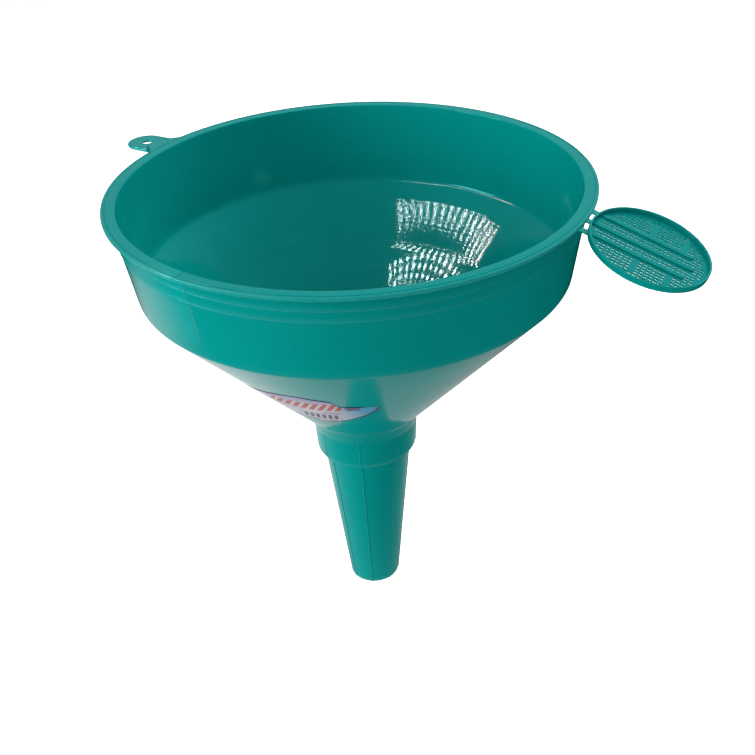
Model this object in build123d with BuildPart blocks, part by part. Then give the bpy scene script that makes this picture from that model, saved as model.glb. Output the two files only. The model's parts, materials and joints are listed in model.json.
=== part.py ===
"""A large fluid funnel with a hang tab and a snap-off strainer, as named STEP parts.

Millimetres, +Z up. The origin is the centre of the spout outlet and Z is the funnel's axis,
so the spout rises from the origin and the mouth opens upward at the top.
"""

from build123d import *
from math import atan2, cos, hypot, radians, sin, tan
import os

# ---------------------------------------------------------------- driving dimensions
# Mouth and bowl
rim_diameter = 250.0
rim_land = 7.2
rim_thickness = 2.0
rim_edge_radius = 0.7
rim_groove_width = 0.6
rim_groove_depth = 0.25
rim_groove_inset = 1.6
wall = 1.7
band_height = 44.0
band_taper = 4.4
band_overhang = 0.2
stacking_step_heights = (7.3, 12.9)
stacking_step_depth = 0.35
corner_radius = 5.0

# Cone, neck collar and spout
cone_height = 91.5
shoulder_height = 8.0
shoulder_flare = 2.9
collar_diameter = 59.6
collar_draft = 0.9
collar_height = 17.0
collar_edge_radius = 1.2
collar_overhang = 3.6
spout_length = 101.0
spout_tip_diameter = 29.8
spout_wall = 1.5
outlet_land = 6.0

# Spout ribs
rib_count = 8
rib_width = 0.9
rib_height = 0.45
rib_first_angle = -97.0

# Hang tab
tab_angle = 148.4
tab_width = 20.6
tab_reach = 22.2
tab_root_radius = 2.5
hang_hole_diameter = 6.0
hang_hole_setback = 11.0
tab_thickness = 1.8

# Strainer, as it hangs on its webs
strainer_angle = -27.5
strainer_droop = 18.5
strainer_roll = 3.0
strainer_diameter = 59.0
strainer_height = 3.2
strainer_wall = 1.1
strainer_floor_thickness = 1.0
hole_pitch = 2.32
hole_size = 1.35
rows_per_strip = 4
hole_margin = 2.5
cross_bar_columns = (-1, 6)
cross_bar_rows = 10
flow_rib_width = 3.3
flow_rib_height = 0.7
flow_rib_end_columns = (8.5, 9.5, 8.5)

# Webs that carry the strainer
web_length = 1.7
web_width = 4.4
web_thickness = 1.0
web_level = 1.5

# Label
label_angle = -111.0
label_length = 77.0
label_width = 49.0
label_thickness = 0.15
label_cone_position = 0.48

# ---------------------------------------------------------------- worked out from them
rim_radius = rim_diameter / 2
collar_top = spout_length + collar_height
cone_foot = collar_top + shoulder_height
band_foot = cone_foot + cone_height
rim_underside = band_foot + band_height
mouth = rim_underside + rim_thickness

inner_mouth_radius = rim_radius - rim_land
band_top_radius = inner_mouth_radius + wall + band_overhang
band_middle_radius = band_top_radius - stacking_step_depth
band_lower_radius = band_middle_radius - stacking_step_depth
band_foot_radius = band_lower_radius - band_taper
upper_step = rim_underside - stacking_step_heights[0]
lower_step = rim_underside - stacking_step_heights[1]
corner_top = band_foot + corner_radius / 2

collar_top_radius = collar_diameter / 2
collar_foot_radius = collar_top_radius - collar_draft
cone_foot_radius = collar_top_radius + shoulder_flare
cone_slope = atan2(band_foot_radius - cone_foot_radius, cone_height)
cone_wall_across = wall / cos(cone_slope)
shelf_top = spout_length + wall
spout_top_radius = collar_foot_radius - collar_overhang
spout_tip_radius = spout_tip_diameter / 2
outlet_radius = spout_tip_radius - spout_wall

tab_end = rim_radius + tab_reach - tab_width / 2
hang_hole_radius = hang_hole_diameter / 2
hang_hole_position = rim_radius + tab_reach - hang_hole_setback

strainer_radius = strainer_diameter / 2
strainer_floor_radius = strainer_radius - strainer_wall
strainer_centre = web_length + strainer_radius
strip_spacing = rows_per_strip * hole_pitch
hole_field_radius = strainer_floor_radius - hole_margin


def round_edges(part, height, radius, reach=0.1):
    """The circular edges of a turned part that lie near one height and one radius."""
    return [
        edge
        for edge in part.edges().filter_by(GeomType.CIRCLE)
        if abs(edge.center().Z - height) < reach and abs(edge.radius - radius) < reach
    ]


def slice_of(turned_part, low, high):
    """The slice of a turned part between two heights."""
    with BuildPart() as piece:
        add(turned_part)
        split(bisect_by=Plane.XY.offset(high), keep=Keep.BOTTOM)
        split(bisect_by=Plane.XY.offset(low), keep=Keep.TOP)
    return piece.part


def save(part, name):
    """Labels a part and writes it as its own STEP file."""
    part.label = name
    export_step(part, f"parts/{name}.step")


os.makedirs("parts", exist_ok=True)

# ---------------------------------------------------------------- the turned shell
# The outline runs up the outside from the outlet, over the rim and back down the inside.
# It is turned once, so the nodes cut from it meet exactly.
inner_band_foot = (band_foot_radius - wall, band_foot + wall * tan(cone_slope / 2))
with BuildPart() as shell:
    with BuildSketch(Plane.XZ):
        Polygon(
            (outlet_radius, 0),
            (spout_tip_radius, 0),
            (spout_top_radius, spout_length),
            (collar_foot_radius, spout_length),
            (collar_top_radius, collar_top),
            (cone_foot_radius, cone_foot),
            (band_foot_radius, band_foot),
            (band_lower_radius, lower_step),
            (band_middle_radius, lower_step),
            (band_middle_radius, upper_step),
            (band_top_radius, upper_step),
            (band_top_radius, rim_underside),
            (rim_radius, rim_underside),
            (rim_radius, mouth),
            (inner_mouth_radius, mouth),
            (inner_mouth_radius, rim_underside),
            inner_band_foot,
            (cone_foot_radius - cone_wall_across, cone_foot),
            (collar_top_radius - wall, collar_top),
            (collar_foot_radius - wall, shelf_top),
            (spout_top_radius - spout_wall, shelf_top),
            (outlet_radius, outlet_land),
            align=None,
        )
    revolve(axis=Axis.Z)
    fillet(round_edges(shell, band_foot, band_foot_radius), radius=corner_radius)
    fillet(round_edges(shell, inner_band_foot[1], inner_band_foot[0]), radius=corner_radius)
    fillet(round_edges(shell, rim_underside, rim_radius), radius=rim_edge_radius)
    fillet(round_edges(shell, mouth, rim_radius), radius=rim_edge_radius)
    fillet(round_edges(shell, mouth, inner_mouth_radius), radius=rim_edge_radius)
    fillet(round_edges(shell, spout_length, collar_foot_radius), radius=collar_edge_radius)
    with BuildSketch(Plane.XY.offset(mouth)):
        Circle(rim_radius - rim_groove_inset)
        Circle(rim_radius - rim_groove_inset - rim_groove_width, mode=Mode.SUBTRACT)
    extrude(amount=-rim_groove_depth, mode=Mode.SUBTRACT)

save(slice_of(shell.part, rim_underside, mouth + 1), "rim_flange")
save(slice_of(shell.part, corner_top, rim_underside), "bowl_band")
save(slice_of(shell.part, cone_foot, corner_top), "cone")
save(slice_of(shell.part, spout_length, cone_foot), "neck_collar")
save(slice_of(shell.part, -1, spout_length), "spout")

# ---------------------------------------------------------------- spout ribs
# Each rib starts inside the wall and the shell is taken away, so its root follows the wall.
rib_turns = [radians(rib_first_angle + 360 / rib_count * n) for n in range(rib_count)]
rib_planes = [
    Plane(origin=(0, 0, 0), x_dir=(cos(turn), sin(turn), 0), z_dir=(sin(turn), -cos(turn), 0))
    for turn in rib_turns
]
rib_foot = spout_length - rib_height
with BuildPart() as spout_ribs:
    with BuildSketch(*rib_planes):
        Polygon(
            (spout_tip_radius - spout_wall / 2, 0),
            (spout_tip_radius + rib_height, 0),
            (spout_top_radius + rib_height, rib_foot),
            (collar_foot_radius + rib_height, rib_foot),
            (collar_top_radius + rib_height, collar_top),
            (collar_top_radius - wall / 2, collar_top),
            (collar_foot_radius - wall / 2, spout_length + wall / 2),
            (spout_top_radius - spout_wall / 2, spout_length + wall / 2),
            align=None,
        )
    extrude(amount=rib_width / 2, both=True)
    add(shell.part, mode=Mode.SUBTRACT)
save(spout_ribs.part, "spout_ribs")

# ---------------------------------------------------------------- hang tab
# The rim's disc is drawn with the tab so their shared corners can be rounded, then cut away.
tab_direction = (cos(radians(tab_angle)), sin(radians(tab_angle)), 0)
with BuildPart() as hang_tab:
    with BuildSketch(Plane(origin=(0, 0, mouth), x_dir=tab_direction)) as outline:
        Circle(rim_radius)
        with Locations((tab_end / 2, 0)):
            Rectangle(tab_end, tab_width)
        with Locations((tab_end, 0)):
            Circle(tab_width / 2)
        root_corners = [
            corner
            for corner in outline.vertices()
            if abs(hypot(corner.X, corner.Y) - rim_radius) < 0.1 and corner.X > rim_radius / 2
        ]
        fillet(root_corners, radius=tab_root_radius)
        Circle(rim_radius, mode=Mode.SUBTRACT)
        with Locations((hang_hole_position, 0)):
            Circle(hang_hole_radius, mode=Mode.SUBTRACT)
    extrude(amount=-tab_thickness)
save(hang_tab.part, "hang_tab")

# ---------------------------------------------------------------- strainer
# Its plane lies mid-way through the floor and starts at the rim, x running out along the webs.
rim_at_webs = (
    rim_radius * cos(radians(strainer_angle)),
    rim_radius * sin(radians(strainer_angle)),
    mouth - web_level,
)
web_plane = Plane(
    Pos(*rim_at_webs)
    * Rot(0, 0, strainer_angle)
    * Rot(0, strainer_droop, 0)
    * Rot(strainer_roll, 0, 0)
)
strainer_plane = Plane(web_plane.location * Pos(strainer_centre, 0, 0))
floor_underside = strainer_plane.offset(-strainer_floor_thickness / 2)
floor_top = strainer_plane.offset(strainer_floor_thickness / 2)

with BuildPart() as strainer_rim:
    with BuildSketch(floor_underside):
        Circle(strainer_radius)
        Circle(strainer_floor_radius, mode=Mode.SUBTRACT)
    extrude(amount=strainer_height)
save(strainer_rim.part, "strainer_rim")


def is_hole(column, row):
    """Whether the strainer's grid has a hole at this column and row."""
    across = row + 0.5
    in_field = hypot(column, across) * hole_pitch < hole_field_radius
    strip = round(across / rows_per_strip)
    beside_strip = abs(across - strip * rows_per_strip) > 1
    past_strip = abs(strip) > 1 or column > flow_rib_end_columns[strip + 1]
    outside_strips = abs(across) > rows_per_strip + 1
    on_bar = column in cross_bar_columns and outside_strips and abs(across) < cross_bar_rows
    return in_field and (beside_strip or past_strip) and not on_bar


grid_reach = int(strainer_radius / hole_pitch) + 1
hole_centres = [
    (column * hole_pitch, (row + 0.5) * hole_pitch)
    for column in range(-grid_reach, grid_reach + 1)
    for row in range(-grid_reach, grid_reach)
    if is_hole(column, row)
]
with BuildPart() as strainer_mesh:
    with BuildSketch(floor_underside):
        Circle(strainer_floor_radius)
        with Locations(*hole_centres):
            Rectangle(hole_size, hole_size, mode=Mode.SUBTRACT)
    extrude(amount=strainer_floor_thickness)
save(strainer_mesh.part, "strainer_mesh")

# The flow ribs lie on the floor's solid strips, from the wall at the webs towards the far side.
with BuildPart() as strainer_flow_ribs:
    with BuildSketch(floor_top):
        for strip, end_column in zip((-1, 0, 1), flow_rib_end_columns):
            rib_end = end_column * hole_pitch
            with Locations((rib_end, strip * strip_spacing)):
                Rectangle(
                    rib_end + strainer_radius,
                    flow_rib_width,
                    align=(Align.MAX, Align.CENTER),
                )
        Circle(strainer_floor_radius, mode=Mode.INTERSECT)
    extrude(amount=flow_rib_height)
save(strainer_flow_ribs.part, "strainer_flow_ribs")

# ---------------------------------------------------------------- webs
# Each web runs from inside the rim to inside the strainer's wall, and both are taken away.
for strip, name in zip((-1, 0, 1), ("web_front", "web_middle", "web_back")):
    web_start = -rim_thickness / 2
    with BuildPart() as web:
        with BuildSketch(web_plane.offset(-web_thickness / 2)):
            with Locations((web_start, strip * strip_spacing)):
                Rectangle(strainer_centre, web_width, align=(Align.MIN, Align.CENTER))
            with Locations((strainer_centre, 0)):
                Circle(strainer_radius - strainer_wall / 2, mode=Mode.SUBTRACT)
        extrude(amount=web_thickness)
        add(shell.part, mode=Mode.SUBTRACT)
        add(strainer_rim.part, mode=Mode.SUBTRACT)
    save(web.part, name)

# ---------------------------------------------------------------- label
# A thin skin of the cone, kept where it meets a lens drawn flat against the cone's side.
label_turn = radians(label_angle)
label_radius = cone_foot_radius + label_cone_position * (band_foot_radius - cone_foot_radius)
label_height = cone_foot + label_cone_position * cone_height
skin_across = label_thickness / cos(cone_slope)
label_plane = Plane(
    origin=(label_radius * cos(label_turn), label_radius * sin(label_turn), label_height),
    x_dir=(-sin(label_turn), cos(label_turn), 0),
    z_dir=(
        cos(cone_slope) * cos(label_turn),
        cos(cone_slope) * sin(label_turn),
        -sin(cone_slope),
    ),
)
with BuildPart() as label:
    with BuildSketch(Plane.XZ):
        Polygon(
            (cone_foot_radius, cone_foot),
            (cone_foot_radius + skin_across, cone_foot),
            (band_foot_radius + skin_across, band_foot),
            (band_foot_radius, band_foot),
            align=None,
        )
    revolve(axis=Axis.Z)
    with BuildSketch(label_plane):
        with BuildLine():
            ThreePointArc((-label_length / 2, 0), (0, label_width / 2), (label_length / 2, 0))
            ThreePointArc((label_length / 2, 0), (0, -label_width / 2), (-label_length / 2, 0))
        make_face()
    extrude(amount=label_width / 2, both=True, mode=Mode.INTERSECT)
save(label.part, "label")
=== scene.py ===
# %% [markdown]
# # A workshop funnel with a snap-off strainer
#
# The object is one injection moulding in glossy teal polypropylene: a wide bowl with a flat
# rim, a cone, a short collar and a long tapered spout. A tab for a wall hook stands at one
# side of the rim, and at the other side a small perforated strainer hangs from three thin
# webs. A paper label is stuck to the cone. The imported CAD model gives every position, and the
# cells below replace its plain solids with surfaces that have the rounded edges, fine marks
# and finishes of the real thing.

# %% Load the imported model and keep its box
import json
import math

import bmesh
import bpy
import numpy as np
from mathutils import Matrix, Vector


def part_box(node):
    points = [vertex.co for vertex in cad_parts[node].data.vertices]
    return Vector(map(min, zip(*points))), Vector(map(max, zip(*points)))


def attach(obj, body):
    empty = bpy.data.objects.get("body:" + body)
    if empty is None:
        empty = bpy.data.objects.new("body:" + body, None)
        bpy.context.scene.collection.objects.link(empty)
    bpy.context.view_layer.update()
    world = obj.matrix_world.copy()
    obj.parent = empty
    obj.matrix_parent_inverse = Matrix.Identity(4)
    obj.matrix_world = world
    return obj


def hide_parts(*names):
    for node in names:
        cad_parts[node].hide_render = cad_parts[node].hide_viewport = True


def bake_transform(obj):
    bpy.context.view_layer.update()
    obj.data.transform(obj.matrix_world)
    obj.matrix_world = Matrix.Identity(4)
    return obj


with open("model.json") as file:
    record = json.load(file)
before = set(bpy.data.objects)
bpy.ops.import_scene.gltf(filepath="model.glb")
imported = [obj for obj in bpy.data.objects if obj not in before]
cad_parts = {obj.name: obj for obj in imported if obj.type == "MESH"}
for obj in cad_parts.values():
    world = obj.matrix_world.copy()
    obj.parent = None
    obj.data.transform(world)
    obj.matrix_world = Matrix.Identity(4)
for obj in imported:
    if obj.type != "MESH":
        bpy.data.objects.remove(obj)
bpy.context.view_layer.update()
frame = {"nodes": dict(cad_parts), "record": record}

record = frame["record"]
MM = 0.001

# %% [markdown]
# ## Camera
#
# The camera stands a little over half a metre in front of the mouth and about two hand widths
# above it, so that it looks into the bowl and still sees the whole spout. A plain pinhole
# camera has no lens distortion, so its place, its pitch, a slight roll and its focal length
# settle the whole view. The small shift moves the picture without changing the perspective.

# %% Camera
mouth_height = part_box("rim_flange")[1][2]
camera_data = bpy.data.cameras.new("camera")
camera_data.sensor_width = 36
camera_data.lens = 50.16
camera_data.shift_x = -0.0232
camera_data.shift_y = -0.0113
camera_data.clip_start = 0.01
camera = bpy.data.objects.new("camera", camera_data)
bpy.context.collection.objects.link(camera)
camera_place = Matrix.Translation((0.0185, -0.5043, mouth_height + 0.2059))
camera_pitch = Matrix.Rotation(math.radians(57.54), 4, "X")
camera_roll = Matrix.Rotation(math.radians(-2.61), 4, "Z")
camera.matrix_world = camera_place @ camera_pitch @ camera_roll
bpy.context.scene.camera = camera
print("camera height above the mouth:", round(camera.location.z - mouth_height, 4), "m")

# %% [markdown]
# ## Helpers for meshes
#
# Every new piece is a surface worked out with numpy. A grid of points becomes a mesh by
# joining each point to its neighbours, and a grid that closes on itself in both directions is
# a sealed skin like a ring. Corners of a turned outline are rounded before it is turned, so
# the finished mesh needs no bevel.


# %% Mesh helpers
def mesh_piece(name, points, faces):
    """A mesh object at the origin with smooth faces, from an array of points and index lists.

    The printed volume is positive when a closed piece's faces point outwards.
    """
    mesh = bpy.data.meshes.new(name)
    mesh.from_pydata(points.reshape(-1, 3).tolist(), [], faces)
    mesh.polygons.foreach_set("use_smooth", np.ones(len(mesh.polygons), dtype=bool))
    mesh.update()
    piece = bpy.data.objects.new(name, mesh)
    bpy.context.collection.objects.link(piece)
    measured = bmesh.new()
    measured.from_mesh(mesh)
    volume = measured.calc_volume(signed=True)
    measured.free()
    print(name, "has", len(faces), "faces and holds", round(volume / MM**3), "cubic mm")
    return piece


def grid_faces(rows, columns, close_rows=False, close_columns=False):
    """Quads that join each point of a grid to the next row and the next column.

    They face the side from which the next row lies to the right of the next column.
    """
    row = np.arange(rows if close_rows else rows - 1)[:, None]
    column = np.arange(columns if close_columns else columns - 1)[None, :]
    next_row, next_column = (row + 1) % rows, (column + 1) % columns
    corners = [
        row * columns + column,
        next_row * columns + column,
        next_row * columns + next_column,
        row * columns + next_column,
    ]
    return np.stack(np.broadcast_arrays(*corners), axis=-1).reshape(-1, 4).tolist()


def rounded_outline(corners, steps=6, longest=0.006):
    """A closed outline through (r, z, radius) corners, each replaced by an arc of that radius.

    The arc touches both sides at the distance radius / tan(half the corner's angle), and its
    points are blended between the two sides' normals. Long straight sides get extra points.
    """
    outline = []
    corners = [(np.array(c[:2]), c[2]) for c in corners]
    for n, (corner, radius) in enumerate(corners):
        before = corners[n - 1][0] - corner
        after = corners[(n + 1) % len(corners)][0] - corner
        before, after = before / np.linalg.norm(before), after / np.linalg.norm(after)
        half = math.acos(np.clip(before @ after, -1, 1)) / 2
        if radius == 0 or half > math.radians(89.5):
            arc = [corner]
        else:
            middle = before + after
            centre = corner + middle / np.linalg.norm(middle) * radius / math.sin(half)
            start = corner + before * radius / math.tan(half) - centre
            end = corner + after * radius / math.tan(half) - centre
            sweep = math.pi - 2 * half
            turn = np.linspace(0, 1, steps + 1)
            weights = [np.sin((1 - turn) * sweep), np.sin(turn * sweep)] / np.sin(sweep)
            arc = list(centre + weights[0][:, None] * start + weights[1][:, None] * end)
        if outline:
            outline += straight_between(outline[-1], arc[0], longest)
        outline += arc
    outline += straight_between(outline[-1], outline[0], longest)
    return np.array(outline)


def straight_between(start, end, longest):
    """Evenly spaced points strictly between two points, no further apart than the longest step."""
    count = math.ceil(np.linalg.norm(end - start) / longest)
    return [start + (end - start) * step / count for step in range(1, count)]


def turned(outline, segments):
    """An outline of (r, z) points carried round the Z axis: x = r cos a, y = r sin a."""
    angle = np.linspace(0, 2 * np.pi, segments, endpoint=False)
    radius, height = outline[:, 0][None, :], outline[:, 1][None, :]
    x = radius * np.cos(angle)[:, None]
    y = radius * np.sin(angle)[:, None]
    return np.stack([x, y, np.broadcast_to(height, x.shape)], axis=-1)


def placed(points, matrix):
    """Points moved by a 4 by 4 matrix, as an (n, 3) array."""
    matrix = np.array(matrix)
    return points.reshape(-1, 3) @ matrix[:3, :3].T + matrix[:3, 3]


def triangles(piece):
    """How many triangles a piece has once its modifiers are applied."""
    shown = piece.evaluated_get(bpy.context.evaluated_depsgraph_get())
    return sum(len(face.vertices) - 2 for face in shown.data.polygons)


# %% [markdown]
# ## Helpers for materials
#
# A finish is a small tree of nodes that ends in a Principled shader. The first helper below adds
# a node and fills its inputs from plain values or from other nodes' outputs. The others name the
# few nodes that every finish needs, so that a tree reads from top to bottom like a recipe.


# %% Material helpers
def add_node(tree, kind, settings=(), **inputs):
    """A node of that kind, its settings set and its named or numbered inputs filled or linked."""
    made = tree.nodes.new(kind)
    for key, value in dict(settings).items():
        setattr(made, key, value)
    for key, value in inputs.items():
        numbered = key[0] == "i" and key[1:].isdigit()
        socket = made.inputs[int(key[1:]) if numbered else key.replace("_", " ")]
        if isinstance(value, bpy.types.NodeSocket):
            tree.links.new(value, socket)
        else:
            socket.default_value = value
    return made


def times(tree, first, second):
    """The product of two values."""
    return add_node(tree, "ShaderNodeMath", {"operation": "MULTIPLY"}, i0=first, i1=second).outputs[0]


def times_plus(tree, first, second, third):
    """The first value times the second, plus the third."""
    settings = {"operation": "MULTIPLY_ADD"}
    return add_node(tree, "ShaderNodeMath", settings, i0=first, i1=second, i2=third).outputs[0]


def ramp(tree, value, low, high, start=0.0, end=1.0):
    """A value carried from the range low to high onto start to end, and held beyond both ends."""
    return add_node(
        tree, "ShaderNodeMapRange", Value=value, From_Min=low, From_Max=high, To_Min=start, To_Max=end
    ).outputs[0]


def laid_over(tree, under, over, amount):
    """One colour over another, where the amount says."""
    return add_node(
        tree, "ShaderNodeMix", {"data_type": "RGBA"}, i0=amount, i6=under, i7=over
    ).outputs[2]


def noise(tree, place, scale, detail):
    """Smooth noise between 0 and 1, with about that many waves to a metre."""
    return add_node(tree, "ShaderNodeTexNoise", Vector=place, Scale=scale, Detail=detail).outputs["Fac"]


def painted(tree, name):
    """A number that was painted on the piece's points."""
    return add_node(tree, "ShaderNodeAttribute", {"attribute_name": name}).outputs["Fac"]


# %% [markdown]
# ## Glossy teal plastic
#
# The moulding is one colour right through, but an even colour would look like a drawing. Soft
# clouds run between two close teals, edges that rub turn pale and dull, and a few hair-thin
# scratches cross it. The gloss is slightly tinted, because light also comes back from just under
# the surface of this plastic. Sink marks a fifth of a millimetre deep bend the reflections.


# %% Teal plastic
TEAL_DEEP = (0.0008, 0.240, 0.220, 1.0)
TEAL_CLEAR = (0.0014, 0.280, 0.262, 1.0)
TEAL_WORN_AND_LIT = (0.10, 0.46, 0.44, 1.0)
SCRATCH_PALENESS = 0.05


def plastic(name, wear_and_highlight_amount, marks=None):
    """Glossy teal polypropylene: faint flow marks, handling scratches, paler rubbed edges and painted
    highlights.

    Marks is a function that adds nodes for a piece's own marks: 0 dark, 0.5 unmarked, 1 light, where light
    is a painted sheen.
    """
    material = bpy.data.materials.new(name)
    material.use_nodes = True
    tree = material.node_tree
    shader = tree.nodes["Principled BSDF"]
    place = add_node(tree, "ShaderNodeTexCoord").outputs["Object"]

    # Colour: two close teals in soft clouds, paler on rubbed edges, along scratches and where a highlight is
    # painted
    worn_and_lit = times(tree, painted(tree, "wear_and_highlight"), noise(tree, place, 420.0, 6.0))
    scratches = scratch_lines(tree, place)
    teal = laid_over(tree, TEAL_DEEP, TEAL_CLEAR, noise(tree, place, 22.0, 3.0))
    # Rubbed edges turn pale here, and the same pale teal paints the highlight on the shell's steps
    teal = laid_over(tree, teal, TEAL_WORN_AND_LIT, times(tree, worn_and_lit, wear_and_highlight_amount))
    teal = laid_over(tree, teal, TEAL_WORN_AND_LIT, times(tree, scratches, SCRATCH_PALENESS))

    # Relief, each with its depth in millimetres: sink marks, a fine skin and the scratches
    reliefs = [
        (noise(tree, place, 28.0, 2.0), 0.22),
        (noise(tree, place, 900.0, 2.0), 0.0025),
        (scratches, -0.006),
    ]
    if marks:
        # On the shell the marks paint a sheen into the colour beside the weld line, and they also bump the
        # surface
        mark_and_sheen = marks(tree, place)
        shade = ramp(tree, mark_and_sheen, 0.0, 1.0, 0.7, 1.3)
        shaded = add_node(tree, "ShaderNodeVectorMath", {"operation": "MULTIPLY"}, i0=teal, i1=shade)
        teal = shaded.outputs[0]
        reliefs = [(mark_and_sheen, 0.18), (polishing_rings(tree, place), 0.03)] + reliefs
    tree.links.new(teal, shader.inputs["Base Color"])
    relief = {}
    for height, depth in reliefs:
        bump = add_node(tree, "ShaderNodeBump", Height=height, Distance=depth * MM, Strength=1.0, **relief)
        relief = {"Normal": bump.outputs[0]}
    tree.links.new(bump.outputs[0], shader.inputs["Normal"])

    # Roughness: a smooth base, a little duller in clouds, in scratches, on rubbed edges and on painted
    # highlights
    roughness = times_plus(tree, noise(tree, place, 60.0, 5.0), 0.06, 0.03)
    roughness = times_plus(tree, scratches, 0.10, roughness)
    roughness = times_plus(tree, worn_and_lit, 0.45, roughness)
    tree.links.new(roughness, shader.inputs["Roughness"])

    shader.inputs["IOR"].default_value = 1.49
    shader.inputs["Specular IOR Level"].default_value = 0.35
    shader.inputs["Specular Tint"].default_value = (0.25, 1.0, 1.0, 1)
    shader.inputs["Subsurface Weight"].default_value = 0.06
    shader.inputs["Subsurface Radius"].default_value = (0.2, 1.0, 1.0)
    shader.inputs["Subsurface Scale"].default_value = 1.5 * MM
    return material


def polishing_rings(tree, place):
    """Fine rings round the axis where the mould was polished: noise of sqrt(x^2 + y^2)."""
    flat = add_node(tree, "ShaderNodeVectorMath", {"operation": "MULTIPLY"}, i0=place, i1=(1, 1, 0))
    radius = add_node(tree, "ShaderNodeVectorMath", {"operation": "LENGTH"}, i0=flat.outputs[0])
    rings = add_node(
        tree, "ShaderNodeTexNoise", {"noise_dimensions": "1D"},
        W=radius.outputs["Value"], Scale=1200.0, Detail=1.0,
    )
    return times(tree, rings.outputs["Fac"], painted(tree, "polished"))


def scratch_lines(tree, place):
    """Fine lines in three directions: stretched noise with only its highest values kept."""
    total = 0.0
    for turn, stretch in ((0.15, 700.0), (0.9, 520.0), (-0.7, 610.0)):
        laid = add_node(
            tree, "ShaderNodeMapping", Vector=place, Rotation=(turn, turn * 0.7, 0.0),
            Scale=(9.0, 9.0, stretch),
        )
        peaks = ramp(tree, noise(tree, laid.outputs[0], 1.0, 1.0), 0.73, 0.78)
        total = add_node(tree, "ShaderNodeMath", {"operation": "MAXIMUM"}, i0=total, i1=peaks).outputs[0]
    return total


# %% [markdown]
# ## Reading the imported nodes
#
# The surfaces below have to lie where the CAD put its solids, so their sizes are read from the
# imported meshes: each node's box, and its smallest and largest distance from the axis at a
# height where it has a corner.


# %% Reading sizes from a node
def node_points(node):
    """All points of a CAD node as an (n, 3) array."""
    mesh = frame["nodes"][node].data
    points = np.empty(len(mesh.vertices) * 3, dtype=np.float32)
    mesh.vertices.foreach_get("co", points)
    return points.reshape(-1, 3).astype(float)


def radii_at(node, height):
    """The smallest and largest distance from the axis among a node's points at one height."""
    points = node_points(node)
    level = points[np.abs(points[:, 2] - height) < 0.03 * MM]
    distance = np.hypot(level[:, 0], level[:, 1])
    return float(distance.min()), float(distance.max())


def crossing(start, along, other_start, other_along):
    """The point of the (r, z) plane where two lines meet."""
    sides = np.array([along, -other_along]).T
    steps = np.linalg.solve(sides, other_start - start)
    return start + steps[0] * along


# %% [markdown]
# ## The funnel's shell
#
# Rim, band, cone, collar and spout are one wall of nearly even thickness, turned round one
# axis. The outline is listed once as corners with their own rounding, up the outside and back
# down the inside, and carried round the axis. Two shallow steps below the rim are what the
# funnels sit on when they are stacked. On the inside, the sharp line where the cone turns up
# into the band is found by running both sides on until they cross.

# %% Sizes of the turned shell
rim_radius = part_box("rim_flange")[1][0]
rim_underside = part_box("rim_flange")[0][2]
inner_mouth_radius, band_top_radius = radii_at("bowl_band", rim_underside)
groove_inset, groove_width, groove_depth = 1.6 * MM, 0.6 * MM, 0.25 * MM
groove_radii = (rim_radius - groove_inset - groove_width, rim_radius - groove_inset)
groove_floor = mouth_height - groove_depth
step_depth = 0.35 * MM
upper_step = rim_underside - 7.3 * MM
lower_step = rim_underside - 12.9 * MM
band_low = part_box("bowl_band")[0][2]
band_low_inner, band_low_outer = radii_at("bowl_band", band_low)
cone_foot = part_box("cone")[0][2]
cone_foot_inner, cone_foot_outer = radii_at("cone", cone_foot)
shoulder_height = 8.0 * MM
collar_top = cone_foot - shoulder_height
collar_top_inner, collar_top_outer = radii_at("neck_collar", collar_top)
spout_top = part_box("spout")[1][2]
spout_top_inner, spout_top_outer = radii_at("spout", spout_top)
shelf_thickness = 1.7 * MM
shelf = spout_top + shelf_thickness
collar_draft = 0.9 * MM
collar_foot_outer = collar_top_outer - collar_draft
collar_foot_inner = radii_at("neck_collar", shelf)[1]
outlet_land = 6.0 * MM
outlet_radius, tip_radius = radii_at("spout", 0.0)

band_lower_radius = band_top_radius - 2 * step_depth
band_lean = (band_lower_radius - band_low_outer) / (lower_step - band_low)
cone_height = 91.5 * MM
corner_height = cone_foot + cone_height
corner_radius = band_low_outer - band_lean * (band_low - corner_height)
cone_side = np.array([corner_radius - cone_foot_outer, corner_height - cone_foot])
inner_corner = crossing(
    np.array([cone_foot_inner, cone_foot]),
    cone_side,
    np.array([band_low_inner, band_low]),
    np.array([inner_mouth_radius - band_low_inner, rim_underside - band_low]),
)
print("band meets cone at radius", round(corner_radius / MM, 2), "mm outside and",
      round(inner_corner[0] / MM, 2), "mm inside")

# %% [markdown]
# The inner side of a moulded cone is never quite straight, because thick and thin places shrink
# differently as they cool. The eye sees that in the gloss: a row of lamps shows crisply low in
# the cone, is lost in a hollow, and comes back as a fan of streaks under the corner. So the inner
# line leans a few degrees in and out by named radii, and stays within about a millimetre.

# %% The shell itself
LEAN_RADII = (30, 62, 70, 83.8, 85, 88, 92, 96, 98, 101, 104, 106.5, 113)
LEAN_DEGREES = (0.4, 0.4, -0.3, 2.2, -3.95, -4.1, -4.2, -4.0, -3.6, -2.6, -1.6, 5.5, 5.5)
FINE_RADII = (106.5, 104.0, 86.2, 85.0, 83.8, 82.6)


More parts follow.
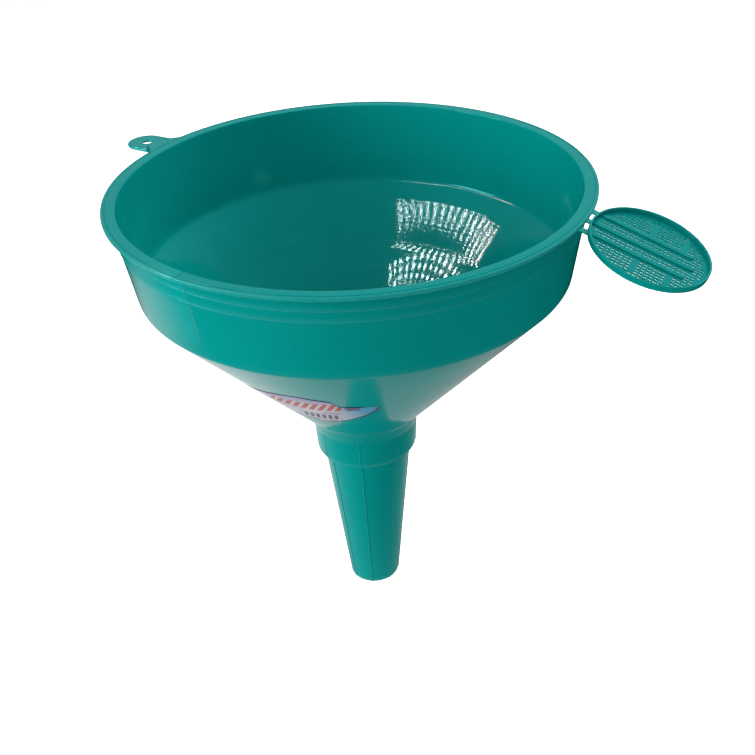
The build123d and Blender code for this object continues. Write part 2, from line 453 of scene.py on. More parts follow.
def sunken(outline):
    """The inner cone's line with its lean, in radians, summed along the slope as a depth.

    The mean lean is taken off, so that both ends of the cone stay where they are.
    """
    along = cone_side / np.linalg.norm(cone_side)
    across = np.array([along[1], -along[0]])
    from_foot = outline - np.array([cone_foot_inner, cone_foot])
    on_inner_cone = np.abs(from_foot @ across) < 0.02 * MM
    slope_length = float(np.linalg.norm(inner_corner - [cone_foot_inner, cone_foot]))
    climbed = np.linspace(0, slope_length, 400)
    radius = cone_foot_inner + climbed * along[0]
    lean = np.radians(np.interp(radius / MM, LEAN_RADII, LEAN_DEGREES))
    lean -= lean.mean()
    sunk = np.concatenate([[0], np.cumsum((lean[1:] + lean[:-1]) / 2)]) * climbed[1]
    print("inner cone between", round(sunk.min() / MM, 2), "and", round(sunk.max() / MM, 2), "mm deep")
    depth = np.interp(from_foot @ along, climbed, sunk) * on_inner_cone
    return outline + depth[:, None] * across


edge = 0.7 * MM
crisp = 0.12 * MM
flash = 0.1 * MM
beside_step = 0.5 * MM
lower_step_outer = band_lower_radius + step_depth
upper_step_inner = band_top_radius - step_depth
slope = cone_side[1] / cone_side[0]
fine_points = [(r * MM, cone_foot + (r * MM - cone_foot_inner) * slope, 0) for r in FINE_RADII]
spout_and_collar = [
    (outlet_radius, 0.0, 0.3 * MM),
    (tip_radius, 0.0, 0.5 * MM),
    (spout_top_outer, spout_top, 0.6 * MM),
    (collar_foot_outer, spout_top, 1.2 * MM),
    (collar_top_outer, collar_top, 3.0 * MM),
    (cone_foot_outer, cone_foot, 4.0 * MM),
]
band_and_steps = [
    (corner_radius, corner_height, 3.0 * MM),
    (band_lower_radius, lower_step - beside_step, 0),
    (band_lower_radius, lower_step, 0.05 * MM),
    (lower_step_outer + flash, lower_step, 0.05 * MM),
    (lower_step_outer, lower_step + 3 * flash, 0.1 * MM),
    (upper_step_inner, upper_step - beside_step, 0),
    (upper_step_inner, upper_step, 0.05 * MM),
    (band_top_radius + flash, upper_step, 0.05 * MM),
    (band_top_radius, upper_step + 3 * flash, 0.1 * MM),
]
rim_and_groove = [
    (band_top_radius, rim_underside, edge),
    (rim_radius, rim_underside, edge),
    (rim_radius, mouth_height, edge),
    (groove_radii[1], mouth_height, crisp),
    (groove_radii[1], groove_floor, crisp),
    (groove_radii[0], groove_floor, crisp),
    (groove_radii[0], mouth_height, crisp),
    (inner_mouth_radius, mouth_height, edge),
]
inner_side = [
    (*inner_corner, 8.0 * MM),
    *fine_points,
    (cone_foot_inner, cone_foot, 3.0 * MM),
    (collar_top_inner, collar_top, 3.0 * MM),
    (collar_foot_inner, shelf, 0.6 * MM),
    (spout_top_inner, shelf, 0.6 * MM),
    (outlet_radius, outlet_land, 2.0 * MM),
]
shell_corners = spout_and_collar + band_and_steps + rim_and_groove + inner_side
shell_outline = rounded_outline(shell_corners, steps=5, longest=3 * MM)
shell_outline = sunken(shell_outline)
shell_grid = turned(shell_outline, segments=256)
shell = mesh_piece("funnel_shell", shell_grid, grid_faces(*shell_grid.shape[:2], True, True))
print("outline of", len(shell_outline), "points,", triangles(shell), "triangles")
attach(shell, "funnel")
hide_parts("rim_flange", "bowl_band", "cone", "neck_collar", "spout")

# %% [markdown]
# Edges that rub on hands, shelves and filler necks turn pale and dull. Each point carries a
# value between 0 and 1 that falls off smoothly with its distance from such an edge, and
# the plastic's material reads it. The same value also paints a highlight as pale lines along
# the two stacking steps, brightest on the side that faces the key light.


# %% Wear along edges, and a painted highlight on the steps
def near(distance, reach):
    """1 at the edge, falling to 0 as a bell curve: exp(-(distance / reach) squared)."""
    return np.exp(-((distance / reach) ** 2))


def paint(piece, name, values):
    """Stores one number for each point of a piece, for its material to read."""
    attribute = piece.data.attributes.new(name, "FLOAT", "POINT")
    attribute.data.foreach_set("value", np.ascontiguousarray(values, dtype=np.float32).ravel())


shell_r, shell_z = np.hypot(shell_grid[..., 0], shell_grid[..., 1]), shell_grid[..., 2]
shell_turn = np.arctan2(shell_grid[..., 1], shell_grid[..., 0])
rim_wear = near(shell_r - rim_radius, 0.8 * MM)
tip_wear = near(shell_z, 1.2 * MM)
collar_wear = near(np.hypot(shell_r - collar_foot_outer, shell_z - spout_top), 1.2 * MM)
corner_wear = near(np.hypot(shell_r - corner_radius, shell_z - corner_height), 1.0 * MM)
# Painted highlight: pale lines along both stacking steps, brightest on the side that faces the key light
step_highlight = near(shell_z - lower_step, 0.3 * MM) + near(shell_z - upper_step, 0.3 * MM)
step_highlight *= shell_r > band_low_outer + 3 * MM
key_lit_side = 0.5 + 0.5 * np.cos(shell_turn - math.radians(-165))
wear_and_highlight = 0.5 * rim_wear + tip_wear + collar_wear + 0.4 * corner_wear + 1.6 * step_highlight * key_lit_side
paint(shell, "wear_and_highlight", np.clip(wear_and_highlight, 0, 1))
fan_radius, fan_fade = 98 * MM, 6 * MM
polished = np.clip(2 - np.abs(shell_r - fan_radius) / fan_fade, 0, 1) * (shell_z > cone_foot)
paint(shell, "polished", polished)
print("most worn edge:", round(float(wear_and_highlight.max()), 2), "of 1")

# %% [markdown]
# Molten plastic flows round the mould from one gate and meets itself again. Where two streams
# meet they leave a weld line, here a thin wavy line down the band. The paler teal on its left is
# a painted sheen that stands in for the key light's reflection. It is a pattern in the material:
# the sideways distance from one upright plane, plus a wave that depends on the height.


# %% Weld line in the band
def weld_line_and_sheen(tree, place):
    """0.5 away from the line; dark along it, and light on its left as a painted sheen: aside = y +
    wander(z), y turned to it.
    """
    laid = add_node(tree, "ShaderNodeMapping", Vector=place, Rotation=(0, 0, -weld_turn))
    parts = add_node(tree, "ShaderNodeSeparateXYZ", Vector=laid.outputs[0]).outputs
    wander = add_node(
        tree, "ShaderNodeTexNoise", {"noise_dimensions": "1D"}, W=parts["Z"], Scale=260.0, Detail=3.0
    )
    aside = times_plus(tree, wander.outputs["Fac"], 1.6 * MM, parts["Y"])
    ridge = ramp(tree, aside, 0.6 * MM, 1.0 * MM)
    hollow = ramp(tree, aside, 1.0 * MM, 1.4 * MM)
    line = add_node(tree, "ShaderNodeMath", {"operation": "SUBTRACT"}, i0=hollow, i1=ridge)
    left_of_line = add_node(tree, "ShaderNodeMath", {"operation": "LESS_THAN"}, i0=aside, i1=0.6 * MM)
    # Painted sheen: paler teal left of the line, in place of the key light's broad reflection
    painted_sheen = ramp(tree, aside, -30 * MM, 0.6 * MM, 0.0, 0.22)
    painted_sheen = times(tree, painted_sheen, left_of_line.outputs[0])
    both = times_plus(tree, line.outputs[0], 0.6, painted_sheen)
    on_band = ramp(tree, parts["Z"], corner_height + 3 * MM, corner_height + 12 * MM)
    in_front = ramp(tree, parts["X"], 0.08, 0.10)
    return times_plus(tree, both, times(tree, on_band, in_front), 0.5)


weld_turn = math.radians(-127)
shell.data.materials.append(plastic("teal_shell", wear_and_highlight_amount=0.5, marks=weld_line_and_sheen))
print("weld line at", round(math.degrees(weld_turn)), "degrees round the axis")

# %% [markdown]
# ## Ribs down the spout
#
# Eight hair-thin ribs run down the collar and the spout, so that air can pass when the spout
# sits in a tight filler neck. Each is half an oval carried along a straight line on the wall,
# sunk a little way into it, with a flat cap at both ends.


# %% Spout ribs
def rib_strip(foot, head, turn, height, width=0.9 * MM, steps=9):
    """Half an oval along a wall line: across = width / 2 * cos b, out = height * sin b."""
    around = np.linspace(0, np.pi, steps)
    across = np.append(width / 2 * np.cos(around), [-width / 2, width / 2])
    out = np.append(height * np.sin(around), [-0.3 * MM, -0.3 * MM])
    along = np.linspace(0, 1, 12)[:, None]
    radius = foot[0] + along * (head[0] - foot[0]) + out
    level = foot[1] + along * (head[1] - foot[1]) + 0 * out
    x = radius * np.cos(turn) - across * np.sin(turn)
    y = radius * np.sin(turn) + across * np.cos(turn)
    return np.stack([x, y, level], axis=-1)


def capped_faces(rows, columns, start=0):
    """Faces of a closed tube of rows with a flat cap at both ends."""
    sides = np.array(grid_faces(rows, columns, close_columns=True)) + start
    first = [start + column for column in range(columns)]
    last = [start + (rows - 1) * columns + column for column in reversed(range(columns))]
    return sides.tolist() + [first, last]


first_rib, rib_count = -97, 8
rib_turns = [math.radians(first_rib + 360 / rib_count * n) for n in range(rib_count)]
wall_lines = [
    ((tip_radius, 0.3 * MM), (spout_top_outer, spout_top - 0.1 * MM), 0.38 * MM),
    ((collar_foot_outer, spout_top + 0.9 * MM), (collar_top_outer, collar_top), 0.25 * MM),
]
rib_points, rib_faces = [], []
for turn in rib_turns:
    for foot, head, height in wall_lines:
        strip = rib_strip(foot, head, turn, height)
        rib_faces += capped_faces(*strip.shape[:2], start=sum(len(points) for points in rib_points))
        rib_points.append(strip.reshape(-1, 3))
ribs = mesh_piece("spout_air_ribs", np.concatenate(rib_points), rib_faces)
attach(ribs, "funnel")
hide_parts("spout_ribs")
ribs.data.materials.append(plastic("teal_ribs", wear_and_highlight_amount=0.7))
paint(ribs, "wear_and_highlight", np.full(len(ribs.data.vertices), 0.08))

# %% [markdown]
# ## Hang tab
#
# The tab is a flat plate with a round end and a hole, and small fillets where it grows out of
# the rim. Its plan outline is a ring of points, matched to a ring round the hole. Between the
# two runs one closed edge profile: over the top, round the outer edge, back underneath and
# through the hole. The plate starts just outside the rim's groove, where its rounded edge and
# the rim's rounded edge cancel out and leave no notch.

# %% Hang tab
tab_turn = math.radians(148.4)
tab_half_width = 10.3 * MM
tab_reach = rim_radius + 22.2 * MM
hole_place = tab_reach - 11.0 * MM
hole_radius = 3.0 * MM
tab_thickness = 1.8 * MM
tab_start = groove_radii[1] + 0.05 * MM
fillet = 2.5 * MM
root = tab_half_width + fillet + 0.7 * MM
root_r = math.sqrt(rim_radius**2 - root**2)
side_r = math.sqrt(rim_radius**2 - tab_half_width**2)
round_end = tab_half_width * 0.999
half_plan = [(tab_start, -root, 0.2 * MM), (root_r, -root, 0.2 * MM),
             (side_r, -tab_half_width, fillet), (tab_reach, -tab_half_width, round_end)]
other_half = [(x, -y, radius) for x, y, radius in reversed(half_plan)]
plan = rounded_outline(half_plan + other_half, steps=14, longest=0.9 * MM)


def plate_with_hole(plan, hole_centre, hole_radius, top, thickness, edge):
    """A closed plate between a plan outline and a round hole, with rounded edges.

    An edge point sits at inset = edge * (1 - cos b), drop = edge * (1 - sin b) from its rim.
    """
    ahead, behind = np.roll(plan, -1, axis=0), np.roll(plan, 1, axis=0)
    along = ahead - behind
    inward = np.stack([-along[:, 1], along[:, 0]], axis=1)
    inward /= np.linalg.norm(inward, axis=1, keepdims=True)
    away = plan - hole_centre
    away /= np.linalg.norm(away, axis=1, keepdims=True)
    around_edge = np.linspace(0, np.pi / 2, 6)
    inset, drop = edge * (1 - np.cos(around_edge)), edge * (1 - np.sin(around_edge))
    upper = [(i, top - d) for i, d in zip(inset, drop)]
    lower = [(i, top - thickness + d) for i, d in zip(inset, drop)]
    climb = lower[::-1] + upper
    outer = [(plan + inward * i, z) for i, z in climb]
    hole = [(hole_centre + away * (hole_radius + i), z) for i, z in reversed(climb)]
    rings = [np.column_stack([ring, np.full(len(ring), z)]) for ring, z in outer + hole]
    return np.stack(rings, axis=1)


tab_grid = plate_with_hole(
    plan, np.array([hole_place, 0.0]), hole_radius, mouth_height + 0.01 * MM, tab_thickness, edge
)
tab_points = placed(tab_grid, Matrix.Rotation(tab_turn, 4, "Z"))
tab = mesh_piece("hook_tab", tab_points, grid_faces(*tab_grid.shape[:2], True, True))
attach(tab, "funnel")
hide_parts("hang_tab")
tab_r = np.hypot(tab_points[:, 0], tab_points[:, 1])
from_hole = np.hypot(tab_grid[..., 0] - hole_place, tab_grid[..., 1]).ravel() - hole_radius
paint(tab, "wear_and_highlight", np.clip(near(from_hole, 0.6 * MM) + near(tab_r - tab_reach, 1.0 * MM), 0, 1))
tab.data.materials.append(plastic("teal_tab", wear_and_highlight_amount=0.45))

# %% [markdown]
# ## Paper label
#
# The label is a pointed oval of printed paper stuck on the front of the cone. A cone's side can
# be rolled out flat, so the label is drawn on that flat sheet, in millimetres along and up the
# slope, and rolled back: a point at distance s from the cone's tip and at sheet angle q lies at
# radius s * sin(half the cone's angle), turned by q / sin(half the cone's angle). Its upper right
# edge has been torn away and stands a little off the cone. The print is a plain pattern of bands
# and bars, with no words.

# %% Label surface
def rolled_onto_cone(along, up, off):
    """Sheet position to space: s = hypot(along, s0 + up), turn = atan2(along, s0 + up) / sin."""
    middle_radius = cone_foot_outer + (label_level - cone_foot) * math.tan(half_cone)
    tip_to_middle = middle_radius / math.sin(half_cone)
    s = np.hypot(along, tip_to_middle + up)
    turn = label_turn + np.arctan2(along, tip_to_middle + up) / math.sin(half_cone)
    radius = s * math.sin(half_cone) + off * math.cos(half_cone)
    level = label_level + (s - tip_to_middle) * math.cos(half_cone) - off * math.sin(half_cone)
    return np.stack([radius * np.cos(turn), radius * np.sin(turn), level], axis=-1)


def lens(wave):
    """A rounded wave drawn out towards a pointed oval: sign(w) * |w|^(2 / 1.45)."""
    return np.sign(wave) * np.abs(wave) ** (2 / 1.45)


label_turn = math.radians(-111)
label_level = cone_foot + 0.48 * cone_height
half_cone = math.atan2(cone_side[0], cone_side[1])
label_half_length, label_half_width = 38.3 * MM, 24.3 * MM
paper, glue = 0.15 * MM, 0.02 * MM
rings_across = 26
turns = -np.linspace(0, 2 * np.pi, 220, endpoint=False)
lens_x, lens_y = lens(np.cos(turns)), lens(np.sin(turns))
torn = np.clip((lens_x - 0.46) / 0.03, 0, 1) * (lens_y > 0)
lens_y = lens_y * (1 - 0.52 * torn)
spread = np.concatenate([np.linspace(0, 1, rings_across), [1, 0.98], np.linspace(0.9, 0, 6)])
skin_off = np.where(np.arange(len(spread)) < rings_across, paper, glue)
sheet_along = lens_x[:, None] * spread * label_half_length
sheet_up = lens_y[:, None] * spread * label_half_width + 1.2 * MM * spread * lens_x[:, None]
curl = np.clip((sheet_along / MM - 18) / 12, 0, 1) * np.clip((sheet_up / MM - 5) / 6, 0, 1)
ripple = 0.03 * MM * np.sin(sheet_along / (3.1 * MM) + 2 * np.sin(sheet_up / (4.3 * MM)))
paper_off = skin_off + 1.8 * MM * curl**1.2 + ripple * (skin_off == paper)
label_grid = rolled_onto_cone(sheet_along, sheet_up, paper_off)
sticker = mesh_piece("paper_label", label_grid, grid_faces(*label_grid.shape[:2], close_rows=True))
paint(sticker, "along_mm", sheet_along / MM)
paint(sticker, "up_mm", sheet_up / MM)
paint(sticker, "border", np.broadcast_to(spread, sheet_along.shape) * (1 - 0.5 * torn[:, None]))
joined = bmesh.new()
joined.from_mesh(sticker.data)
bmesh.ops.remove_doubles(joined, verts=joined.verts, dist=0.001 * MM)
joined.to_mesh(sticker.data)
joined.free()
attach(sticker, "funnel")
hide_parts("label")

# %% [markdown]
# The print is laid on ink by ink, as a printer would: a pale ground that turns lilac at the top
# and blue at the tip, a row of slanted red strokes, rows of dark bars, a small badge, a dark
# border and last the grime of a workshop. Each row is a band along the label times a band up it,
# and the strokes in it are a sine wave of the position along the row, sheared by its height.


# %% Label print
def band(tree, value, low, high, soft):
    """1 between two limits and 0 outside them, with soft edges."""
    rise = ramp(tree, value, low - soft, low + soft)
    return times(tree, rise, ramp(tree, value, high - soft, high + soft, 1.0, 0.0))


def patch(tree, along_limits, up_limits, soft=0.4):
    """A rectangle on the label, in millimetres along and up from its middle."""
    return times(tree, band(tree, along, *along_limits, soft), band(tree, up, *up_limits, soft))


def slanted_strokes(tree, slant, pitch, share):
    """Strokes across a row: sin(2 pi (along - slant * up) / pitch), kept where it is high."""
    sheared = times_plus(tree, up, -slant, along)
    phase = times(tree, sheared, 2 * math.pi / pitch)
    wave = add_node(tree, "ShaderNodeMath", {"operation": "SINE"}, i0=phase).outputs[0]
    return ramp(tree, wave, -share - 0.25, -share + 0.25)


paper_print = bpy.data.materials.new("label_print")
paper_print.use_nodes = True
tree = paper_print.node_tree
along, up, border = [painted(tree, name) for name in ("along_mm", "up_mm", "border")]
place = add_node(tree, "ShaderNodeTexCoord").outputs["Object"]

PALE, LILAC, BLUE = (0.52, 0.48, 0.54, 1), (0.28, 0.27, 0.47, 1), (0.08, 0.30, 0.50, 1)
RED, INK, RIM_INK = (0.48, 0.06, 0.05, 1), (0.10, 0.07, 0.14, 1), (0.09, 0.03, 0.10, 1)
BADGE_BLUE, BADGE_RED, GRIME = (0.05, 0.12, 0.30, 1), (0.45, 0.03, 0.06, 1), (0.30, 0.27, 0.28, 1)
colour = laid_over(tree, PALE, LILAC, ramp(tree, up, 12.0, 17.0, 0.0, 0.8))
colour = laid_over(tree, colour, BLUE, ramp(tree, along, 12.0, 30.0))
red_row = times(tree, band(tree, along, -19, 20, 0.5), band(tree, up, 1, 14, 0.6))
colour = laid_over(tree, colour, RED, times(tree, red_row, slanted_strokes(tree, 0.55, 4.6, 0.35)))
ink_rows = (((-8, 13), (-17, -8), 3.3), ((7, 16), (-5, -3), 1.6), ((-6, 9), (-20, -18.5), 1.2))
for along_limits, up_limits, pitch in ink_rows:
    row = times(tree, patch(tree, along_limits, up_limits), slanted_strokes(tree, 0.25, pitch, 0.4))
    colour = laid_over(tree, colour, INK, row)
colour = laid_over(tree, colour, BADGE_BLUE, patch(tree, (21, 28), (1, 8)))
colour = laid_over(tree, colour, BADGE_RED, patch(tree, (23.2, 27), (4, 7.5), soft=0.7))
colour = laid_over(tree, colour, RIM_INK, ramp(tree, border, 0.936, 0.952))
grime = noise(tree, place, 90.0, 5.0)
colour = laid_over(tree, colour, GRIME, ramp(tree, grime, 0.5, 0.8, 0.0, 0.35))
shader = tree.nodes["Principled BSDF"]
tree.links.new(colour, shader.inputs["Base Color"])
tree.links.new(times_plus(tree, grime, 0.3, 0.2), shader.inputs["Roughness"])
fibres = noise(tree, place, 1400.0, 4.0)
paper_relief = add_node(tree, "ShaderNodeBump", Height=fibres, Distance=0.01 * MM, Strength=1.0)
tree.links.new(paper_relief.outputs[0], shader.inputs["Normal"])
sticker.data.materials.append(paper_print)
print("label print has", len(tree.nodes), "nodes")

# %% [markdown]
# ## Strainer: where it hangs
#
# The strainer tilts down into the bowl on its webs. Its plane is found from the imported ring:
# the direction in which the ring's points spread least is its axis, and the line from the
# hinge to the ring's centre is the direction out along the webs. Pieces of the strainer are
# made flat, with the floor's middle at height zero, and then placed by one matrix.

# %% The strainer's own frame
ring_points = node_points("strainer_rim")
ring_middle = np.unique(ring_points.round(6), axis=0).mean(axis=0)
ring_axis = np.linalg.svd(ring_points - ring_middle)[2][2]
ring_axis *= np.sign(ring_axis[2])
ring_levels = (ring_points - ring_middle) @ ring_axis
ring_height = float(ring_levels.max() - ring_levels.min())
ring_radius = float(np.linalg.norm(np.cross(ring_points - ring_middle, ring_axis), axis=1).max())
floor_half = 0.5 * MM
floor_middle = ring_middle + ring_axis * (ring_levels.min() + floor_half)

hinge = next(joint for joint in record["behaviour"]["joints"] if joint["name"] == "strainer_flex")
to_centre = floor_middle - np.array(hinge["pos_m"])
to_centre -= ring_axis * (to_centre @ ring_axis)
hinge_to_centre = float(np.linalg.norm(to_centre))
out_along = to_centre / hinge_to_centre
strainer_frame = np.eye(4)
strainer_frame[:3, :3] = np.stack([out_along, np.cross(ring_axis, out_along), ring_axis], axis=1)
strainer_frame[:3, 3] = floor_middle
tilt = math.degrees(math.acos(ring_axis[2]))
print("strainer radius", round(ring_radius / MM, 2), "mm, tilted", round(tilt, 1), "degrees")

# %% [markdown]
# ## Strainer: wall, floor and flow ribs
#
# The wall is a turned ring. The floor is a flat grid whose lines run along the edges of the
# square holes: hole cells are left out, and points outside the wall are pulled onto a circle
# hidden inside it, so the floor meets the wall all round. Solidify gives the sheet its
# thickness and a small Bevel softens the holes. Three raised ribs lead from the webs across the
# floor, where the plastic ran in.

# %% Strainer wall
ring_wall = 1.1 * MM
ring_inner = ring_radius - ring_wall
ring_corners = [
    (ring_inner, -floor_half, crisp),
    (ring_radius, -floor_half, 0.35 * MM),
    (ring_radius, ring_height - floor_half, 0.4 * MM),
    (ring_inner, ring_height - floor_half, 0.4 * MM),
]
ring_outline = rounded_outline(ring_corners, steps=5, longest=1.2 * MM)
ring_grid = turned(ring_outline, segments=180)
ring_faces = grid_faces(*ring_grid.shape[:2], True, True)
ring = mesh_piece("strainer_wall", placed(ring_grid, strainer_frame), ring_faces)
ring_top_wear = near(ring_grid[..., 2] - (ring_height - floor_half), 0.5 * MM)
paint(ring, "wear_and_highlight", 0.3 * ring_top_wear)


# %% Strainer floor
def is_hole(column, row):
    """Whether the grid has a hole there: not by the wall, on a flow rib or on a cross bar."""
    across = row + 0.5
    in_field = np.hypot(column, across) * hole_pitch < ring_inner - 2.5 * MM
    strip = np.round(across / rows_per_strip)
    beside_strip = np.abs(across - strip * rows_per_strip) > 1
    strip_end = np.select([strip == 0, np.abs(strip) == 1], [9.5, 8.5], -np.inf)
    beyond_strips = np.abs(across) > rows_per_strip + 1
    on_bar = np.isin(column, (-1, 6)) & beyond_strips & (np.abs(across) < 10)
    return in_field & (beside_strip | (column > strip_end)) & ~on_bar


hole_pitch = 2.32 * MM
hole_size = 1.35 * MM
rows_per_strip = 4
reach = int(ring_radius / hole_pitch) + 1
columns = np.arange(-reach, reach + 1)
rows = np.arange(-reach, reach)
half_hole = np.array([-hole_size / 2, hole_size / 2])
x_lines = (columns[:, None] * hole_pitch + half_hole).ravel()
y_lines = ((rows[:, None] + 0.5) * hole_pitch + half_hole).ravel()
sheet_x, sheet_y = np.meshgrid(x_lines, y_lines, indexing="ij")
sheet_r = np.hypot(sheet_x, sheet_y)
hidden_radius = ring_radius - ring_wall / 2
pull = np.minimum(1, hidden_radius / np.maximum(sheet_r, hidden_radius))
sheet = np.stack([sheet_x * pull, sheet_y * pull, 0 * sheet_x], axis=-1)

cells = np.array(grid_faces(len(x_lines), len(y_lines))).reshape(len(x_lines) - 1, len(y_lines) - 1, 4)
inside = (sheet_r < hidden_radius).ravel()
kept = inside[cells].any(axis=-1)
kept[::2, ::2] &= ~is_hole(columns[:, None], rows[None, :])
used, floor_faces = np.unique(cells[kept], return_inverse=True)
floor_points = placed(sheet.reshape(-1, 3)[used], strainer_frame)
floor = mesh_piece("strainer_floor", floor_points, floor_faces.reshape(-1, 4).tolist())
thickness = floor.modifiers.new("floor thickness", "SOLIDIFY")
thickness.thickness = 0.8 * MM
thickness.offset = 0
softened = floor.modifiers.new("soft hole edges", "BEVEL")
softened.width = 0.1 * MM
softened.segments = 1
print(int(is_hole(columns[:, None], rows[None, :]).sum()), "holes,", triangles(floor), "triangles")


# %% Bars: flow ribs and webs
def bar(x, half_width, middle, half_height, y=0.0, steps=28, squareness=5):
    """A rounded bar along x: y = half_width * cos(b)^(2/n), z = half_height * sin(b)^(2/n)."""
    b = -np.linspace(0, 2 * np.pi, steps, endpoint=False)
    side, up = np.cos(b), np.sin(b)
    side = np.sign(side) * np.abs(side) ** (2 / squareness)
    up = np.sign(up) * np.abs(up) ** (2 / squareness)
    along = np.broadcast_to(x[:, None], (len(x), steps))
    across = y + half_width[:, None] * side
    level = middle[:, None] + half_height[:, None] * up
    return np.stack([along, across, level], axis=-1)


rib_nose = 1.2 * MM
flow_points, flow_faces = [], []
for strip, end_column in ((-1, 8.5), (0, 9.5), (1, 8.5)):
    y = strip * rows_per_strip * hole_pitch
    start = -math.sqrt(hidden_radius**2 - y**2)
    end = end_column * hole_pitch
    straight = np.linspace(start, end - rib_nose, 14)
    rounded = end - rib_nose * (1 - np.sin(np.linspace(0.2, 1.57, 7)))
    x = np.concatenate([straight, rounded])
    fade = np.sqrt(np.clip((end - x) / rib_nose, 0.03, 1))
    grid = bar(x, 1.65 * MM * fade, 0.75 * MM + 0 * x, 0.45 * MM * fade, y)
    flow_faces += capped_faces(*grid.shape[:2], start=sum(len(points) for points in flow_points))
    flow_points.append(placed(grid, strainer_frame))
flow_ribs = mesh_piece("strainer_flow_bars", np.concatenate(flow_points), flow_faces)
for piece, node, wear_and_highlight_amount in ((ring, "strainer_rim", 0.5), (floor, "strainer_mesh", 0.3),
                                 (flow_ribs, "strainer_flow_ribs", 0.3)):
    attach(piece, "strainer")
    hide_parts(node)
    piece.data.materials.append(plastic("teal_" + node, wear_and_highlight_amount))

# %% [markdown]
# ## Webs
#
# Three thin webs join the strainer to the rim. Plastic flowed through them, so they flare where
# they run into the rim and into the ring, and they thin in the middle, where they bend and in
# the end snap.

# %% Webs
web_half_height = 0.5 * MM
rim_edge = -(hinge_to_centre + 0.85 * MM)
for strip, name in ((-1, "front"), (0, "middle"), (1, "back")):
    y = strip * rows_per_strip * hole_pitch
    start = rim_edge + math.sqrt(rim_radius**2 - y**2) - rim_radius
    end = -math.sqrt(ring_radius**2 - y**2)
    t = np.linspace(-1, 1, 25)
    x = (start + end) / 2 + t * ((end - start) / 2 + 0.5 * MM)
    width = 1.9 * MM + 0.5 * MM * t**4
    thin = web_half_height * (0.80 + 0.20 * t**2)
    grid = bar(x, width, 0 * x, thin, y)
    web = mesh_piece("web_" + name + "_bridge", placed(grid, strainer_frame), capped_faces(*grid.shape[:2]))
    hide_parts("web_" + name)
    web.data.materials.append(plastic("teal_web_" + name, wear_and_highlight_amount=0.6))
    paint(web, "wear_and_highlight", np.repeat(0.5 * (1 - t**2), grid.shape[1]))
    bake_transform(web)

# %% [markdown]
# ## Stage
#
# The funnel stands on its spout on a plain pale floor, lit softly from the upper left. A panel
# of small round lamps hangs at the left behind the viewer and shows as dots and streaks in the
# glossy bowl.

# %% Floor
floor_size = 4.0
stage_points = np.array([[-1, -1, 0], [1, -1, 0], [1, 1, 0], [-1, 1, 0]]) * floor_size / 2
stage_points[:, 2] = -0.5 * MM
ground = mesh_piece("ground", stage_points, [[0, 1, 2, 3]])
ground_material = bpy.data.materials.new("pale_ground")
ground_material.use_nodes = True
ground_shader = ground_material.node_tree.nodes["Principled BSDF"]
ground_shader.inputs["Base Color"].default_value = (0.86, 0.86, 0.86, 1)
ground_shader.inputs["Roughness"].default_value = 0.9
ground_shader.inputs["Specular IOR Level"].default_value = 0.1
ground_shader.inputs["Emission Color"].default_value = (1, 1, 1, 1)
ground_shader.inputs["Emission Strength"].default_value = 0.55
ground.data.materials.append(ground_material)
ground.visible_glossy = False
ground.visible_diffuse = False

# A pale wall curves up all round, far enough away to stay out of the camera's view
wall_bend = np.linspace(0, np.pi / 2, 12)
wall_r = np.append(1.95 + np.sin(wall_bend), 2.95)
wall_z = np.append(1.0 - np.cos(wall_bend), 5.0)
wall_grid = turned(np.stack([wall_r, wall_z], axis=1), segments=64)
backdrop = mesh_piece("pale_backdrop", wall_grid, grid_faces(*wall_grid.shape[:2], close_rows=True))
backdrop.data.materials.append(ground_material)
backdrop.visible_glossy = False
backdrop.visible_diffuse = False
backdrop.visible_shadow = False

# The light that the floor throws back on the funnel comes from a sheet just above it
bounce = mesh_piece("ground_bounce", stage_points * 0.6, [[0, 1, 2, 3]])
bounce_material = bpy.data.materials.new("bounced_light")
bounce_material.use_nodes = True
bounce_shader = bounce_material.node_tree.nodes["Principled BSDF"]
bounce_shader.inputs["Base Color"].default_value = (0, 0, 0, 1)
bounce_shader.inputs["Specular IOR Level"].default_value = 0.0
bounce_shader.inputs["Emission Color"].default_value = (1, 1, 1, 1)
bounce_shader.inputs["Emission Strength"].default_value = 0.95
bounce.data.materials.append(bounce_material)
bounce.visible_camera = False
bounce.visible_glossy = False
bounce.visible_shadow = False

# The part of the floor that shows in the gloss: bright under the spout and fading outwards
near_turn = np.linspace(0, 2 * np.pi, 96, endpoint=False)
near_floor = 0.9 * np.stack([np.cos(near_turn), np.sin(near_turn), 0 * near_turn], axis=-1)
near_floor[:, 2] = -0.4 * MM
near_ground = mesh_piece("ground_near_funnel", near_floor, [list(range(len(near_floor)))])
near_material = bpy.data.materials.new("lit_ground")
near_material.use_nodes = True
near_tree = near_material.node_tree
near_place = add_node(near_tree, "ShaderNodeTexCoord").outputs["Object"]
near_laid = add_node(
    near_tree, "ShaderNodeMapping", Vector=near_place, Location=(0.11, -0.14, 0.0), Scale=(0.5, 1.0, 0.0)
)
from_spout = add_node(near_tree, "ShaderNodeVectorMath", {"operation": "LENGTH"}, i0=near_laid.outputs[0])
fading = add_node(
    near_tree, "ShaderNodeMapRange", {"interpolation_type": "SMOOTHSTEP"}, Value=from_spout.outputs["Value"],
    From_Min=0.05, From_Max=0.27, To_Min=0.75, To_Max=0.0,
)
near_shader = near_tree.nodes["Principled BSDF"]
near_shader.inputs["Base Color"].default_value = (0, 0, 0, 1)
near_shader.inputs["Specular IOR Level"].default_value = 0.0
near_shader.inputs["Emission Color"].default_value = (1, 1, 1, 1)
near_tree.links.new(fading.outputs[0], near_shader.inputs["Emission Strength"])
near_ground.data.materials.append(near_material)
near_ground.visible_camera = False
near_ground.visible_shadow = False
near_ground.visible_diffuse = False

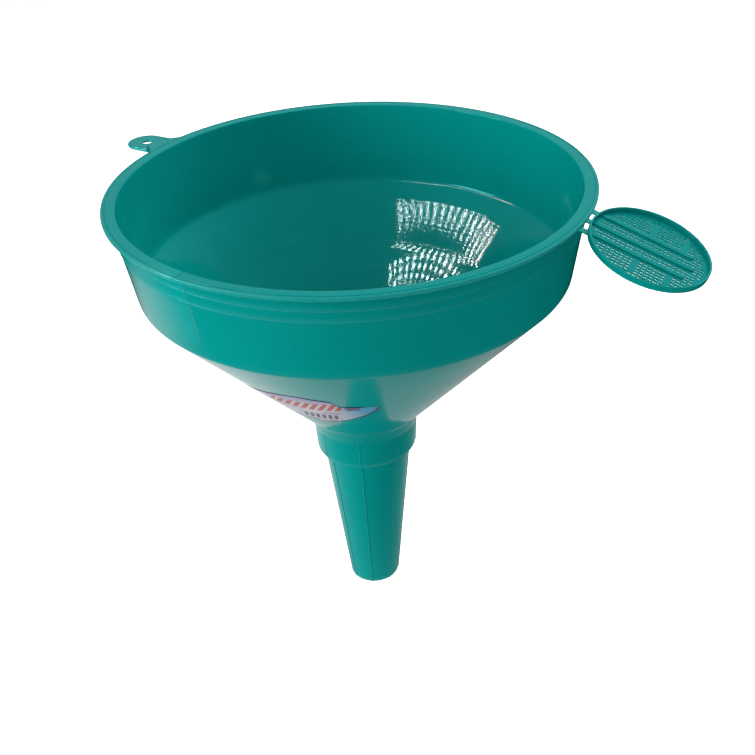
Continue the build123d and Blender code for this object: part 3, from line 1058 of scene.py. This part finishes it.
# %% [markdown]
# Large soft lamps light the funnel from the left, from above, from behind on the right and from
# the front. Only the left one shows in the gloss, as a pale sheen.

# %% Lights
def area_light(name, place, target, size, power):
    """A square lamp at a place, its face turned towards a target."""
    lamp = bpy.data.lights.new(name, "AREA")
    lamp.shape = "RECTANGLE"
    lamp.size, lamp.size_y = size, size
    lamp.energy = power
    made = bpy.data.objects.new(name, lamp)
    bpy.context.collection.objects.link(made)
    aim = (Vector(target) - Vector(place)).to_track_quat("-Z", "Y")
    made.matrix_world = Matrix.Translation(place) @ aim.to_matrix().to_4x4()
    return made


def towards(azimuth, elevation, distance):
    """A point seen from the bowl at that azimuth and elevation in degrees."""
    turn, climb = math.radians(azimuth), math.radians(elevation)
    step = Vector((math.cos(turn) * math.cos(climb), math.sin(turn) * math.cos(climb), math.sin(climb)))
    return Vector((0.05, 0.06, 0.19)) + distance * step


middle = Vector((0.0, 0.0, mouth_height / 2))
panel_ends = towards(-129, 57, 1.3), towards(162, 32, 1.3)
panel_middle = (panel_ends[0] + panel_ends[1]) / 2
key = area_light("key", (-1.4, -0.4, 0.5), middle, 0.7, 18.0)
key.data.color = (0.6, 1.0, 1.0)
top = area_light("top", (0.1, -0.3, 1.8), middle, 1.6, 8.0)
top.visible_glossy = False
fill = area_light("fill", (0.9, 0.9, 1.1), middle + Vector((0, 0, 0.15)), 1.0, 22.0)
fill.visible_glossy = False
front = area_light("front", (-0.3, -1.6, 0.9), middle + Vector((0, 0, 0.1)), 1.0, 7.0)
front.visible_glossy = False

# %% [markdown]
# The lamp panel lights nothing and shows only in the gloss. Its glow is reddish, because the
# plastic's tinted gloss takes the red away and leaves the dots white.

# %% Lamp panel
panel_height, panel_rise = 0.14, 0.12
across = (panel_ends[1] - panel_ends[0]).normalized()
facing = (middle - panel_middle).normalized()
upward = across.cross(facing).normalized()
columns_of_lamps, rows_of_lamps, lamp_sides = 16, 4, 10
u, v, a = np.meshgrid(
    np.linspace(-0.5, 0.5, columns_of_lamps) * (panel_ends[1] - panel_ends[0]).length,
    np.linspace(-0.5, 0.5, rows_of_lamps) * panel_height + panel_rise,
    np.linspace(0, 2 * np.pi, lamp_sides, endpoint=False),
    indexing="ij",
)
u = u + 0.017 * np.cos(a)
v = v + 0.011 * np.sin(a)
lamp_points = np.array(panel_middle) + u[..., None] * np.array(across) + v[..., None] * np.array(upward)
lamp_faces = np.arange(u.size).reshape(-1, lamp_sides).tolist()
lamps = mesh_piece("lamp_panel", lamp_points, lamp_faces)
glow = bpy.data.materials.new("lamp_glow")
glow.use_nodes = True
glow_shader = glow.node_tree.nodes["Principled BSDF"]
glow_shader.inputs["Emission Color"].default_value = (1.0, 0.36, 0.36, 1)
glow_shader.inputs["Emission Strength"].default_value = 200.0
lamps.data.materials.append(glow)
lamps.visible_camera = False
lamps.visible_diffuse = False

# %% [markdown]
# The room gives a little even light from above the horizon, and none from below it.

# %% Room light
world = bpy.data.worlds.new("studio")
world.use_nodes = True
world.node_tree.nodes["Background"].inputs["Color"].default_value = (0.9, 0.95, 1.0, 1)
sky = world.node_tree
looking = add_node(sky, "ShaderNodeTexCoord").outputs["Generated"]
upward_look = add_node(sky, "ShaderNodeSeparateXYZ", Vector=looking).outputs["Z"]
above = add_node(sky, "ShaderNodeMapRange", Value=upward_look, From_Min=0.0, From_Max=0.3, To_Max=0.3)
sky.links.new(above.outputs[0], sky.nodes["Background"].inputs["Strength"])
bpy.context.scene.world = world
bpy.context.scene.view_settings.view_transform = "Standard"
